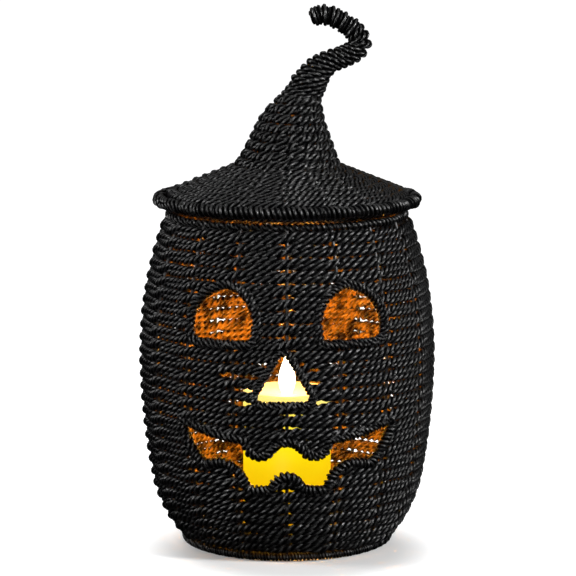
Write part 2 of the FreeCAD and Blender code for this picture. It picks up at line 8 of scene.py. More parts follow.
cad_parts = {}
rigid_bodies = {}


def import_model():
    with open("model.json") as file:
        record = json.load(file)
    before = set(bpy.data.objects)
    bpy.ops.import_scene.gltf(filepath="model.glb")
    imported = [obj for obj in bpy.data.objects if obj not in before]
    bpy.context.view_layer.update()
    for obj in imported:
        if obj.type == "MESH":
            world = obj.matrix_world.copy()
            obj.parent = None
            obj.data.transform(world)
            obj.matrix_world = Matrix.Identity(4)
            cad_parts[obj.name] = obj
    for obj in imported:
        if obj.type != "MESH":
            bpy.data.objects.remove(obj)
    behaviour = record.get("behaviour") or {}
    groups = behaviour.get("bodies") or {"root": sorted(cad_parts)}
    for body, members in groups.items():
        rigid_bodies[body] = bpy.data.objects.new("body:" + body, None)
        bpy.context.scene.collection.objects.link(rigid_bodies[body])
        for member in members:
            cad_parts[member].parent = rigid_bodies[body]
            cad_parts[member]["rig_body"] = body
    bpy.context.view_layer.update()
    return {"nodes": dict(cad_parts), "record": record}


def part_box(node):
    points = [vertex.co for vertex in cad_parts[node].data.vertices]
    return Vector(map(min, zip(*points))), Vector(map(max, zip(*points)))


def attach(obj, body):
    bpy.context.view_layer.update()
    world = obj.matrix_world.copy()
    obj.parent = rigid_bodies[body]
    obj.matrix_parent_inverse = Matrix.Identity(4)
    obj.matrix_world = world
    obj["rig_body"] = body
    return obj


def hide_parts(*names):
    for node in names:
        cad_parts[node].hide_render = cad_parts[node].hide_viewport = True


# A lidded pumpkin lantern twined from twisted black cord over wire ribs, with a glowing pillar candle inside.
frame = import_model()

# ---------------------------------------------------------------- sizes, in millimetres

MM = 0.001
CORD_RADIUS = 3.55      # the weaving cord, three plies twisted
CORD_LAY = 20.0         # length of one full twist of the plies
WRAP_LAY = 16.0         # the same, for cord that is wound tightly round a wire
FIBRES = 24             # creases round one cord
LOBES = 3               # plies twisted into one cord
PRESSED = 0.16          # how much wider a cord is where it passes a rib
RIB_COUNT = 17
ROW_COUNT = 26


def node_box(name):
    """Lowest and highest corner of a CAD node."""
    low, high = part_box(name)
    return low / MM, high / MM


def ring_of(name):
    """Radius, height and tube radius of a bound ring, from its CAD solid."""
    low, high = node_box(name)
    tube = (high.z - low.z) / 2
    return high.x - tube, (high.z + low.z) / 2, tube


WEAVE_LOW = node_box("weave_heel")[0].z
WEAVE_HIGH = node_box("weave_shoulder")[1].z
WALL_HALF = 5.0         # half the thickness of the woven wall
WIDEST_HEIGHT = node_box("weave_eyes")[0].z
WIDEST_RADIUS = node_box("weave_eyes")[1].x - WALL_HALF
HEEL_TOP = node_box("weave_mouth")[0].z
SHOULDER_ARC = 332.5
SIDE_ARC = 570.0
HEEL_ARC = 110.0


def arc_at(centre_radius, centre_height, arc, height):
    """Radius of the wall at a height, where its outline is an arc round a centre."""
    return centre_radius + math.sqrt(arc ** 2 - (height - centre_height) ** 2)


def wall_radius(height):
    """Radius of the surface that the ribs lie on: heel, side and shoulder arcs."""
    side_centre = WIDEST_RADIUS - SIDE_ARC
    if height > WIDEST_HEIGHT:
        return arc_at(WIDEST_RADIUS - SHOULDER_ARC, WIDEST_HEIGHT, SHOULDER_ARC, height)
    if height > HEEL_TOP:
        return arc_at(side_centre, WIDEST_HEIGHT, SIDE_ARC, height)
    joint = arc_at(side_centre, WIDEST_HEIGHT, SIDE_ARC, HEEL_TOP)
    share = HEEL_ARC / SIDE_ARC
    return arc_at(joint + (side_centre - joint) * share,
                  HEEL_TOP + (WIDEST_HEIGHT - HEEL_TOP) * share, HEEL_ARC, height)


# ---------------------------------------------------------------- camera and light

def make_camera():
    """Eight and a half degrees above the horizon, in front of the face."""
    aim = Vector((0.0009, 0.0, 0.220))
    tilt = math.radians(8.5)
    distance = 2.333
    camera = bpy.data.objects.new("camera", bpy.data.cameras.new("camera"))
    camera.data.lens = 168.75
    camera.data.sensor_width = 36.0
    camera.location = aim + Vector((0, -math.cos(tilt), math.sin(tilt))) * distance
    camera.rotation_euler = (math.pi / 2 - tilt, 0, 0)
    bpy.context.scene.collection.objects.link(camera)
    bpy.context.scene.camera = camera


def area_light(name, place, aim, power, width):
    """A square white softbox that faces aim."""
    lamp = bpy.data.objects.new(name, bpy.data.lights.new(name, "AREA"))
    lamp.data.energy = power
    lamp.data.size = width
    lamp.location = place
    lamp.rotation_euler = (Vector(aim) - Vector(place)).to_track_quat("-Z", "Y").to_euler()
    bpy.context.scene.collection.objects.link(lamp)


def glow_light(name, height, power, width):
    """Warm light from the flame, which shines on the basket."""
    lamp = bpy.data.objects.new(name, bpy.data.lights.new(name, "POINT"))
    lamp.data.energy = power
    lamp.data.color = linear("#ffaa3c")
    lamp.data.shadow_soft_size = width * MM
    lamp.location = (0, 0, height * MM)
    bpy.context.scene.collection.objects.link(lamp)
    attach(lamp, "candle")


# ---------------------------------------------------------------- materials

def linear(code):
    """An sRGB hex colour as linear red, green and blue."""
    parts = [int(code[place:place + 2], 16) / 255 for place in (1, 3, 5)]
    return tuple(part / 12.92 if part <= 0.04045 else ((part + 0.055) / 1.055) ** 2.4 for part in parts)


def add_node(tree, kind, settings=None, links=None):
    """Add a node, set its values and sockets, and link its inputs."""
    made = tree.nodes.new("ShaderNode" + kind)
    for name, value in (settings or {}).items():
        if isinstance(name, int) or name in made.inputs:
            made.inputs[name].default_value = value
        else:
            setattr(made, name, value)
    for name, source in (links or {}).items():
        tree.links.new(source, made.inputs[name])
    return made


def new_material(name):
    """A named material with an empty node tree."""
    material = bpy.data.materials.new(name)
    material.use_nodes = True
    tree = material.node_tree
    tree.nodes.clear()
    return material, tree


def ramp(tree, source, stops):
    """Colours between stops, each a place from 0 to 1 and a hex colour."""
    made = add_node(tree, "ValToRGB", links={"Fac": source})
    elements = made.color_ramp.elements
    for number, (place, colour) in enumerate(stops):
        element = elements[number] if number < 2 else elements.new(place)
        element.position = place
        element.color = (*linear(colour), 1)
    return made.outputs["Color"]


def finish_material(tree, shader):
    """Lead a shader to the material's output."""
    add_node(tree, "OutputMaterial", links={"Surface": shader.outputs[0]})


# mask that places the painted candle light on the cords' inner side
def facing_in(tree, place):
    """How far a face looks towards the axis of the basket, from 0 to 1."""
    flat = add_node(tree, "VectorMath", {"operation": "MULTIPLY", 1: (-1, -1, 0)}, {0: place})
    inward = add_node(tree, "VectorMath", {"operation": "NORMALIZE"}, {0: flat.outputs[0]})
    normal = add_node(tree, "NewGeometry").outputs["Normal"]
    share = add_node(tree, "VectorMath", {"operation": "DOT_PRODUCT"}, {0: inward.outputs[0], 1: normal})
    return add_node(tree, "MapRange", {"From Min": 0.25, "From Max": 0.95}, {"Value": share.outputs["Value"]})


def cord_material(name, dark, light, inside, roughness):
    """Twisted paper cord dyed black: fibres and creases along the plies catch small bright glints.
    On the inner side it is painted in patchy warm browns and gold: painted candle light, standing in for the
    glow of the lamp inside."""
    material, tree = new_material(name)
    place = add_node(tree, "TexCoord").outputs["Object"]
    cord_map = add_node(tree, "UVMap").outputs["UV"]
    around = add_node(tree, "SeparateXYZ", links={"Vector": cord_map}).outputs["Y"]
    turns = add_node(tree, "Math", {"operation": "MULTIPLY", 1: 2 * math.pi * FIBRES}, {0: around})
    fibre = add_node(tree, "Math", {"operation": "SINE"}, {0: turns.outputs[0]})
    plies = add_node(tree, "Math", {"operation": "MULTIPLY", 1: 2 * math.pi * LOBES}, {0: around})
    ridge = add_node(tree, "Math", {"operation": "COSINE"}, {0: plies.outputs[0]})
    # painted shade in the grooves between the plies: their specular level falls to nothing there and is full on
    # the ridges
    groove_shade = add_node(tree, "MapRange", {"From Min": -0.35, "From Max": 0.9, "To Min": 0.0, "To Max": 0.95},
                     {"Value": ridge.outputs[0]})
    patches = add_node(tree, "TexNoise", {"Scale": 90.0, "Detail": 4.0}, {"Vector": place})
    creases = add_node(tree, "TexNoise", {"Scale": 900.0, "Detail": 5.0, "Roughness": 0.65},
                       {"Vector": place})
    dye = ramp(tree, patches.outputs["Fac"], ((0.35, dark), (0.68, light)))
    # painted candle light: cord that faces the axis is coloured warm and lighter, as if lit by the lamp inside
    painted_candle_glow = ramp(tree, patches.outputs["Fac"], ((0.38, inside[0]), (0.6, inside[1])))
    colour = add_node(tree, "Mix", {"data_type": "RGBA"},
                      {0: facing_in(tree, place).outputs[0], 6: dye, 7: painted_candle_glow}).outputs[2]
    gloss = add_node(tree, "MapRange", {"From Min": 0.35, "From Max": 0.7, "To Min": roughness - 0.12,
                                        "To Max": roughness + 0.18}, {"Value": creases.outputs["Fac"]})
    relief = add_node(tree, "Math", {"operation": "MULTIPLY_ADD", 1: 0.18},
                      {0: fibre.outputs[0], 2: creases.outputs["Fac"]})
    bump = add_node(tree, "Bump", {"Strength": 0.5, "Distance": 0.0006}, {"Height": relief.outputs[0]})
    shader = add_node(tree, "BsdfPrincipled", {"IOR": 1.5},
                      {"Base Color": colour, "Roughness": gloss.outputs[0],
                       "Specular IOR Level": groove_shade.outputs[0], "Normal": bump.outputs["Normal"]})
    finish_material(tree, shader)
    return material


def painted_wire():
    """Steel wire dipped in black lacquer: satin, with a little orange peel."""
    material, tree = new_material("black_lacquered_wire")
    place = add_node(tree, "TexCoord").outputs["Object"]
    peel = add_node(tree, "TexNoise", {"Scale": 700.0, "Detail": 3.0}, {"Vector": place})
    bump = add_node(tree, "Bump", {"Strength": 0.2, "Distance": 0.0003}, {"Height": peel.outputs["Fac"]})
    colour = ramp(tree, peel.outputs["Fac"], ((0.3, "#101011"), (0.75, "#1d1c1b")))
    finish_material(tree, add_node(tree, "BsdfPrincipled", {"Roughness": 0.34},
                                   {"Base Color": colour, "Normal": bump.outputs["Normal"]}))
    return material


def glowing_wax():
    """Yellow paraffin wax with the lamp's light in it: nearly white at the flame, deeper yellow below."""
    material, tree = new_material("yellow_paraffin_wax_lit")
    place = add_node(tree, "TexCoord").outputs["Object"]
    mottle = add_node(tree, "TexNoise", {"Scale": 60.0, "Detail": 5.0}, {"Vector": place})
    away = add_node(tree, "VectorMath", {"operation": "DISTANCE", 1: (0, 0, 0.14)}, {0: place})
    mixed = add_node(tree, "Math", {"operation": "MULTIPLY_ADD", 1: 0.012},
                     {0: mottle.outputs["Fac"], 2: away.outputs["Value"]})
    share = add_node(tree, "MapRange", {"From Min": 0.015, "From Max": 0.125}, {"Value": mixed.outputs[0]})
    glow = ramp(tree, share.outputs[0], ((0.0, "#fffef2"), (0.2, "#fff6b8"), (0.34, "#fff052"),
                                         (0.46, "#f9ec06"), (0.66, "#f4d20c"), (1.0, "#e8a800")))
    bump = add_node(tree, "Bump", {"Strength": 0.25, "Distance": 0.0008}, {"Height": mottle.outputs["Fac"]})
    finish_material(tree, add_node(
        tree, "BsdfPrincipled",
        {"Base Color": (*linear("#8a6a00"), 1), "Roughness": 0.45, "IOR": 1.44, "Emission Strength": 0.98},
        {"Emission Color": glow, "Normal": bump.outputs["Normal"]}))
    return material


def flame_material():
    """Frosted clear plastic over the lamp: white hot in the middle and amber at its foot and tip."""
    material, tree = new_material("frosted_flame_lit")
    place = add_node(tree, "TexCoord").outputs["Object"]
    height = add_node(tree, "SeparateXYZ", links={"Vector": place}).outputs["Z"]
    rise = add_node(tree, "MapRange", {"From Min": FLAME_LOW * MM, "From Max": FLAME_HIGH * MM},
                    {"Value": height})
    glow = ramp(tree, rise.outputs[0], ((0.0, "#ffb03a"), (0.3, "#fff3cf"), (0.75, "#fff6dc"),
                                        (1.0, "#ffcf6a")))
    finish_material(tree, add_node(tree, "BsdfPrincipled", {"Roughness": 0.4, "Emission Strength": 5.0},
                                   {"Base Color": glow, "Emission Color": glow}))
    return material


def moulded(name, dark, light, roughness):
    """Moulded plastic: an even colour with the faint mottle and eroded texture of the tool."""
    material, tree = new_material(name)
    place = add_node(tree, "TexCoord").outputs["Object"]
    grain = add_node(tree, "TexNoise", {"Scale": 1100.0, "Detail": 2.0}, {"Vector": place})
    bump = add_node(tree, "Bump", {"Strength": 0.15, "Distance": 0.0002}, {"Height": grain.outputs["Fac"]})
    colour = ramp(tree, grain.outputs["Fac"], ((0.3, dark), (0.75, light)))
    finish_material(tree, add_node(tree, "BsdfPrincipled", {"Roughness": roughness, "IOR": 1.49},
                                   {"Base Color": colour, "Normal": bump.outputs["Normal"]}))
    return material


def plated_metal():
    """Nickel-plated strip and screws: drawn, with fine lines."""
    material, tree = new_material("nickel_plated_steel")
    place = add_node(tree, "TexCoord").outputs["Object"]
    lines = add_node(tree, "TexNoise", {"Scale": 1500.0, "Detail": 2.0}, {"Vector": place})
    gloss = add_node(tree, "MapRange", {"To Min": 0.22, "To Max": 0.4}, {"Value": lines.outputs["Fac"]})
    colour = ramp(tree, lines.outputs["Fac"], ((0.2, "#a9a49a"), (0.8, "#c9c4b8")))
    finish_material(tree, add_node(tree, "BsdfPrincipled", {"Metallic": 1.0},
                                   {"Base Color": colour, "Roughness": gloss.outputs[0]}))
    return material


def studio_floor():
    """White acrylic light table, lit from below, with a painted contact shadow round the basket's foot: its
    glow and its whiteness fall off there.
    """
    material, tree = new_material("light_table_painted_contact_shadow")
    place = add_node(tree, "TexCoord").outputs["Object"]
    away = add_node(tree, "VectorMath", {"operation": "DISTANCE", 1: (0.01, -0.05, 0)}, {0: place})
    # painted contact shadow: glow and whiteness fall off towards the foot, centred a little to the right and
    # front
    lit = add_node(tree, "MapRange", {"interpolation_type": "SMOOTHSTEP", "From Min": 0.075, "From Max": 0.16,
                                      "To Min": 0.03, "To Max": 0.84}, {"Value": away.outputs["Value"]})
    painted_shadow_albedo = add_node(tree, "MapRange", {"From Min": 0.03, "From Max": 0.84, "To Min": 0.78, "To Max": 0.9},
                    {"Value": lit.outputs[0]})
    finish_material(tree, add_node(tree, "BsdfPrincipled", {
        "Roughness": 0.9, "Specular IOR Level": 0.0, "Emission Color": (1, 1, 1, 1)},
        {"Base Color": painted_shadow_albedo.outputs[0], "Emission Strength": lit.outputs[0]}))
    return material


# ---------------------------------------------------------------- cords

def lobed_section():
    """The section of a three-ply cord, one millimetre in radius: three round plies side by side."""
    count = 12
    curve = bpy.data.curves.new("cord_section", "CURVE")
    spline = curve.splines.new("POLY")
    spline.points.add(count - 1)
    for number, point in enumerate(spline.points):
        angle = 2 * math.pi * number / count
        ply = (angle + math.pi / 3) % (2 * math.pi / 3) - math.pi / 3
        reach = MM * (0.53 * math.cos(ply) + math.sqrt(0.225 - (0.53 * math.sin(ply)) ** 2))
        point.co = (reach * math.cos(angle), reach * math.sin(angle), 0, 1)
    spline.use_cyclic_u = True
    section = bpy.data.objects.new("cord_section", curve)
    bpy.context.scene.collection.objects.link(section)
    return section


def cord_piece(name, node, strands, body, material, lay=CORD_LAY):
    """One mesh of twisted cords. Each strand is a list of points, each with the cord's radius there."""
    curve = bpy.data.curves.new(name, "CURVE")
    curve.dimensions = "3D"
    curve.twist_mode = "MINIMUM"
    curve.bevel_mode = "OBJECT"
    curve.bevel_object = section
    curve.use_fill_caps = True
    for number, strand in enumerate(strands):
        spline = curve.splines.new("POLY")
        spline.points.add(len(strand) - 1)
        turn = number
        before = strand[0][0]
        for point, (spot, radius) in zip(spline.points, strand):
            slack = 1 + wobble(*(spot / 45), 0.35)
            turn -= 2 * math.pi * (spot - before).length / lay * slack
            before = spot
            point.co = (*(spot * MM), 1)
            point.radius = radius
            point.tilt = turn
    thing = bpy.data.objects.new(name + "_curve", curve)
    bpy.context.scene.collection.objects.link(thing)
    graph = bpy.context.evaluated_depsgraph_get()
    mesh = bpy.data.meshes.new_from_object(thing.evaluated_get(graph))
    bpy.data.objects.remove(thing)
    finish_piece(name, mesh, node, body, material)


def finish_piece(name, mesh, node, body, material):
    """Place a made mesh on its body, where it stands for a CAD node."""
    mesh.name = name
    mesh.materials.clear()
    mesh.materials.append(material)
    piece = bpy.data.objects.new(name, mesh)
    bpy.context.scene.collection.objects.link(piece)
    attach(piece, body)
    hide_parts(node)
    return piece


def wobble(a, b, c, size):
    """A smooth, repeatable wander between -size and size."""
    return size * noise.noise(Vector((a, b, c)))


def crossing(turn):
    """How far a strand stands above its row's middle: the two strands swap quickly at each rib."""
    return math.tanh(2.0 * math.sin(turn)) / math.tanh(2.0)


def twined_row(place, ribs, step, reach, rise, cord, seed):
    """The two strands of one row. place(angle) gives a point, the way out and the way up of its middle.
    Where a strand passes a rib it is pressed flat, so it is wider there."""
    around = place(0)[0]
    length = 2 * math.pi * math.hypot(around.x, around.y)
    count = max(48, int(length / step))
    strands = []
    for half in (0, 1):
        strand = []
        for number in range(count + 1):
            angle = -math.pi + 2 * math.pi * number / count
            turn = ribs * angle / 2 + half * math.pi
            spot, out, up = place(angle)
            wander = wobble(4 * math.sin(angle), 4 * math.cos(angle), seed * 1.7 + half * 9, 0.9)
            pressed = 1 + PRESSED * math.cos(turn) ** 2 + 0.08 * wander
            strand.append((spot + out * reach * math.cos(turn) + up * (rise * crossing(turn) + wander),
                           cord * pressed))
        strands.append(strand)
    return strands


def cut_at_openings(strand, outlines):
    """Break a strand where it would cross an opening of the face."""
    runs = []
    run = []
    for spot, cord in strand:
        inside = spot.y < 0 and any(encloses(outline, spot.x, spot.z) for outline in outlines)
        if inside:
            if len(run) > 3:
                runs.append(run)
            run = []
        else:
            run.append((part_strand(spot), cord))
    if len(run) > 3:
        runs.append(run)
    return runs


# small gaps where the rows are pushed apart beside the nose: across and height of each
GAPS = ((-32.0, 151.0), (-36.0, 139.5), (-29.0, 163.0), (-48.0, 165.0), (-15.5, 172.0), (11.0, 172.5),
        (20.5, 169.0), (20.0, 159.0), (27.0, 141.0))


def part_strand(spot):
    """Push a strand up or down, away from the gaps beside the nose."""
    if spot.y > 0:
        return spot
    for across, height in GAPS:
        near = math.exp(-((spot.x - across) / 7.5) ** 2)
        away = spot.z - height
        spot = spot + Vector((0, 0, 3.0 * near * math.copysign(1, away) * math.exp(-(away / 5.5) ** 2)))
    return spot


def encloses(outline, across, height):
    """Whether a closed outline goes round a point of the face."""
    inside = False
    before = outline[-1]
    for here in outline:
        if (here.y > height) != (before.y > height):
            edge = here.x + (height - here.y) * (before.x - here.x) / (before.y - here.y)
            if across < edge:
                inside = not inside
        before = here
    return inside


# ---------------------------------------------------------------- the face

def through(start, middle, end, count=9):
    """Points on the arc from start to end that passes through middle, without its end."""
    a, b, c = (Vector(point) for point in (start, middle, end))
    turn = 2 * (a.x * (b.y - c.y) + b.x * (c.y - a.y) + c.x * (a.y - b.y))
    squares = [point.length_squared for point in (a, b, c)]
    centre = Vector((
        (squares[0] * (b.y - c.y) + squares[1] * (c.y - a.y) + squares[2] * (a.y - b.y)) / turn,
        (squares[0] * (c.x - b.x) + squares[1] * (a.x - c.x) + squares[2] * (b.x - a.x)) / turn))
    first = a - centre
    sweep = first.angle_signed(b - centre) + (b - centre).angle_signed(c - centre)
    return [centre + Matrix.Rotation(-sweep * number / count, 2) @ first for number in range(count)]


def grown(points, width):
    """A closed outline moved outwards by a width, with mitred corners."""
    area = sum(a.x * b.y - b.x * a.y for a, b in zip(points, points[1:] + points[:1]))
    side = 1 if area > 0 else -1
    result = []
    count = len(points)
    for number, here in enumerate(points):
        before = (here - points[number - 1]).normalized()
        after = (points[(number + 1) % count] - here).normalized()
        out = [Vector((way.y, -way.x)) * side for way in (before, after)]
        middle = (out[0] + out[1]).normalized()
        result.append(here + middle * width / max(0.55, middle.dot(out[0])))
    return result


def rounded(points, times=2, closed=True):
    """Cut the corners of a line again and again until it is smooth."""
    for _ in range(times):
        pairs = list(zip(points, points[1:] + points[:1])) if closed else list(zip(points, points[1:]))
        cut = [spot for a, b in pairs for spot in (a.lerp(b, 0.25), a.lerp(b, 0.75))]
        points = cut if closed else [points[0]] + cut + [points[-1]]
    return points


def eye_outline(side):
    """An eye: flat below and domed above, with its peak towards the nose. side is -1 or 1."""
    points = [(30, 194), (30, 206)]
    points += [(p.x, p.y) for p in through((30, 206), (36, 227), (48, 234.5))]
    points += [(p.x, p.y) for p in through((48, 234.5), (66, 225.5), (76, 198))]
    points += [(76, 198), (74.5, 194), (60, 194), (45, 194)]
    return [Vector((side * x, y)) for x, y in points]


def nose_outline():
    """The nose: a triangle a little to one side of the middle."""
    return [Vector(point) for point in ((-24.5, 144.5), (-3, 144.5), (18.5, 144.5), (7.75, 163.5),
                                        (-3, 182.5), (-13.75, 163.5))]


def mouth_outline():
    """The mouth: raised corners, an upper tooth, and a round chin that stands up between two lower notches."""
    right = [(84, 117.5)] + [tuple(p) for p in through((84, 117.5), (61, 110), (38, 106.5))][1:]
    right += [(38, 106.5), (37, 101)]
    right += [tuple(p) for p in through((37, 101), (23, 92.3), (8.5, 101.5))][1:]
    right += [(8.5, 101.5), (4, 105)]
    lower = [(14.5, 75.5), (15.5, 72), (22, 71.2), (30, 71), (33, 82), (47, 93.5), (61, 93), (67.5, 90),
             (77.5, 103)]
    chin = [tuple(p) for p in through((-14.5, 75.5), (0, 83.7), (14.5, 75.5))][1:]
    points = right + [(-x, y) for x, y in reversed(right)] + [(-x, y) for x, y in reversed(lower)]
    return [Vector(point) for point in points + chin + lower]


WIRE_INSET = 4.5
EYES = {"left": rounded(grown(eye_outline(-1), WIRE_INSET)),
        "right": rounded(grown(eye_outline(1), WIRE_INSET))}
NOSE = rounded(grown(nose_outline(), WIRE_INSET), 1)
MOUTH = rounded(grown(mouth_outline(), WIRE_INSET))
OUTLINES = [EYES["left"], EYES["right"], NOSE, MOUTH]


def on_wall(across, height):
    """Point of the front wall, the way out of it and the way up it."""
    radius = wall_radius(height)
    slope = wall_radius(height + 0.5) - wall_radius(height - 0.5)
    flat = Vector((across / radius, -math.sqrt(max(0, 1 - (across / radius) ** 2)), 0))
    up = (flat * slope + Vector((0, 0, 1))).normalized()
    out = (flat - Vector((0, 0, 1)) * slope).normalized()
    return Vector((flat.x * radius, flat.y * radius, height)), out, up


def coil(line, outs, pitch, reach, cord, seed, uneven=0.25):
    """A cord bound round a line. line holds points, outs the way out at each and reach the coil's radius,
    or one for each point."""
    largest = max(reach) if isinstance(reach, list) else reach
    steps = max(9, round(2 * math.pi * largest / 1.6))
    lengths = [0.0]
    for a, b in zip(line, line[1:]):
        lengths.append(lengths[-1] + (b - a).length)
    strand = []
    count = int(lengths[-1] / pitch * steps)
    spot = 0
    for number in range(count + 1):
        along = lengths[-1] * number / count
        while spot < len(lengths) - 2 and lengths[spot + 1] < along:
            spot += 1
        share = (along - lengths[spot]) / max(1e-6, lengths[spot + 1] - lengths[spot])
        centre = line[spot].lerp(line[spot + 1], share)
        out = outs[spot].lerp(outs[spot + 1], share).normalized()
        way = (line[spot + 1] - line[spot]).normalized()
        side = way.cross(out).normalized()
        loose = 1 + uneven * noise.noise(Vector((along / pitch * 0.9, seed, 0)))
        radius = reach[spot] + (reach[spot + 1] - reach[spot]) * share if isinstance(reach, list) else reach
        phase = 2 * math.pi * number / steps + 6 * uneven * noise.noise(Vector((along / pitch * 0.6, seed, 7)))
        strand.append((centre + (out * math.cos(phase) + side * math.sin(phase)) * radius * loose, cord))
    return strand


def border(opening, outline, reach, cord, pitch, seed):
    """Cord bound round the bent wire of an opening."""
    closed = outline + outline[:1]
    fine = []
    for a, b in zip(closed, closed[1:]):
        parts = max(1, int((b - a).length / 2))
        fine += [a.lerp(b, number / parts) for number in range(parts)]
    fine.append(fine[0])
    spots = [on_wall(point.x, point.y) for point in fine]
    strand = coil([spot[0] + spot[1] * 0.6 for spot in spots], [spot[1] for spot in spots], pitch, reach,
                  cord, seed)
    cord_piece(opening + "_cord", opening + "_binding", [strand], "lantern", materials["cord"], lay=WRAP_LAY)


# ---------------------------------------------------------------- the woven body

def row_heights():
    """Heights of the rows' middles, evenly spaced along the wall."""
    steps = 600
    heights = [WEAVE_LOW + (WEAVE_HIGH - WEAVE_LOW) * number / steps for number in range(steps + 1)]
    lengths = [0.0]
    for a, b in zip(heights, heights[1:]):
        lengths.append(lengths[-1] + math.hypot(b - a, wall_radius(b) - wall_radius(a)))
    rows = []
    for row in range(ROW_COUNT):
        goal = lengths[-1] * (row + 0.5) / ROW_COUNT
        spot = next(number for number, length in enumerate(lengths) if length >= goal)
        rows.append(heights[spot])
    return rows


def body_row_place(height, row):
    """The middle line of one row of the wall, which sags a little here and there."""
    slope = wall_radius(height + 0.5) - wall_radius(height - 0.5)

    def place(angle):
        flat = Vector((math.sin(angle), -math.cos(angle), 0))
        up = (flat * slope + Vector((0, 0, 1))).normalized()
        out = (flat - Vector((0, 0, 1)) * slope).normalized()
        sag = wobble(1.5 * math.sin(angle), 1.5 * math.cos(angle), 0.23 * row, 1.6)
        return flat * wall_radius(height) + Vector((0, 0, height)) + up * sag, out, up
    return place


def make_weave():
    """The rows of the wall, in the same five bands as the CAD."""
    bands = ("weave_heel", "weave_mouth", "weave_cheeks", "weave_eyes", "weave_shoulder")
    tops = [node_box(band)[1].z for band in bands]
    strands = {band: [] for band in bands}
    for row, height in enumerate(row_heights()):
        band = bands[next(number for number, top in enumerate(tops) if height < top + 0.01)]
        pair = twined_row(body_row_place(height, row), RIB_COUNT, 1.6, 0.9, 2.55, CORD_RADIUS, row)
        for strand in pair:
            strands[band] += cut_at_openings(strand, OUTLINES)
    for band in bands:
        cord_piece("cord_" + band, band, strands[band], "lantern", materials["cord"])


def ring_line(radius, height, count=240):
    """A closed circle of points with the way out at each, starting at the back."""
    angles = [-math.pi + 2 * math.pi * number / count for number in range(count + 1)]
    outs = [Vector((math.sin(angle), -math.cos(angle), 0)) for angle in angles]
    return [out * radius + Vector((0, 0, height)) for out in outs], outs


def bound_ring(name, node, body, cord, pitch, seed, uneven, closing):
    """A hoop bound with cord. closing holds the cords laid along it: step outwards, step up and radius."""
    radius, height, tube = ring_of(node)
    line, outs = ring_line(radius, height)
    strands = [coil(line, outs, pitch, tube - cord, cord, seed, uneven)]
    for outwards, upwards, thickness in closing:
        strands.append([(spot, thickness) for spot in ring_line(radius + outwards, height + upwards)[0]])
    cord_piece(name, node, strands, body, materials["ring"], lay=WRAP_LAY)


def make_base_ring():
    """The foot ring, pressed flat where it stands."""
    high = node_box("base_ring_binding")[1]
    cord = 1.5
    line, outs = ring_line(high.x - 4.0, 3.6)
    strand = coil(line, outs, 3.3, 4.0 - cord, cord, 5, uneven=0.1)
    for spot, thickness in strand:
        spot.z = max(spot.z, thickness + 0.05)
    cord_piece("foot_ring_cord", "base_ring_binding", [strand], "lantern", materials["cord"], lay=WRAP_LAY)


def make_floor():
    """Rings of twined cord round the wire cross that the candle stands on."""
    low, high = node_box("floor_weave")
    middle = (low.z + high.z) / 2
    strands = []
    cord = 1.35
    radius = 5.0
    while radius < high.x - 2:
        def place(angle, reach=radius):
            flat = Vector((math.sin(angle), -math.cos(angle), 0))
            return flat * reach + Vector((0, 0, middle)), Vector((0, 0, 1)), flat
        strands += twined_row(place, 4, 2.0, 1.1, cord, cord, radius)
        radius += 5.6
    cord_piece("floor_cord", "floor_weave", strands, "lantern", materials["cord"], lay=11.0)


# ---------------------------------------------------------------- the lid

# rings of the peak and corners of the stem's middle line: across, height and, for a ring, its radius
PEAK_RINGS = ((0.0, 326.0, 47.0), (2.0, 338.0, 41.0), (3.5, 365.0, 30.0), (6.8, 377.0, 24.3),
              (11.8, 387.0, 18.3))
STEM_CORNERS = ((9.5, 378.0), (27.3, 413.8), (56.0, 421.5), (65.5, 432.0), (55.0, 444.5),
                (35.0, 456.4), (21.5, 454.0))
LID_CROSSINGS = 17


def cone_place(across, height, radius, slope_out, seed):
    """A ring of the lid. slope_out is the outward share of the way up the lid."""
    def place(angle):
        flat = Vector((math.sin(angle), -math.cos(angle), 0))
        up = (flat * slope_out + Vector((0, 0, 1))).normalized()
        out = (flat - Vector((0, 0, 1)) * slope_out).normalized()
        sag = wobble(1.5 * math.sin(angle), 1.5 * math.cos(angle), 0.31 * seed, 1.2)
        return flat * radius + Vector((across, 0, height)) + up * sag, out, up
    return place


def make_lid_weave():
    """The brim's rows from rim to peak, then the peak's rows up to the stem."""
    brim_low, brim_high = node_box("lid_brim_weave")
    thick = 9.0
    outer = (brim_high.x - 1.5, brim_low.z + thick / 2 + 0.6)
    inner = (44.0, brim_high.z - thick / 2 + 0.8)
    rows = 7
    strands = []
    slope = (inner[0] - outer[0]) / (inner[1] - outer[1])
    for row in range(rows):
        share = (row + 0.5) / rows
        radius = outer[0] + (inner[0] - outer[0]) * share
        height = outer[1] + (inner[1] - outer[1]) * share
        strands += twined_row(cone_place(0, height, radius, slope, row), LID_CROSSINGS, 1.6, 0.6, 2.1, 3.1,
                              40 + row)
    cord_piece("cord_lid_brim", "lid_brim_weave", strands, "lid", materials["cord"])

    rows = 8
    strands = []
    inset = 4.4
    rings = [Vector(ring) for ring in PEAK_RINGS]
    lengths = [(high.yz - low.yz).length for low, high in zip(rings, rings[1:])]
    for row in range(rows):
        share = (row + 0.4) / rows * sum(lengths)
        spot = 0
        while share > lengths[spot]:
            share -= lengths[spot]
            spot += 1
        low, high = rings[spot], rings[spot + 1]
        across, height, radius = low.lerp(high, share / lengths[spot])
        slope = (high.z - low.z) / (high.y - low.y)
        ribs = LID_CROSSINGS if radius > 30 else 9
        strands += twined_row(cone_place(across, height, radius - inset, slope, 20 + row), ribs, 1.5, 0.8, 1.8,
                              3.2, 60 + row)
    cord_piece("cord_lid_peak", "lid_peak_weave", strands, "lid", materials["cord"])


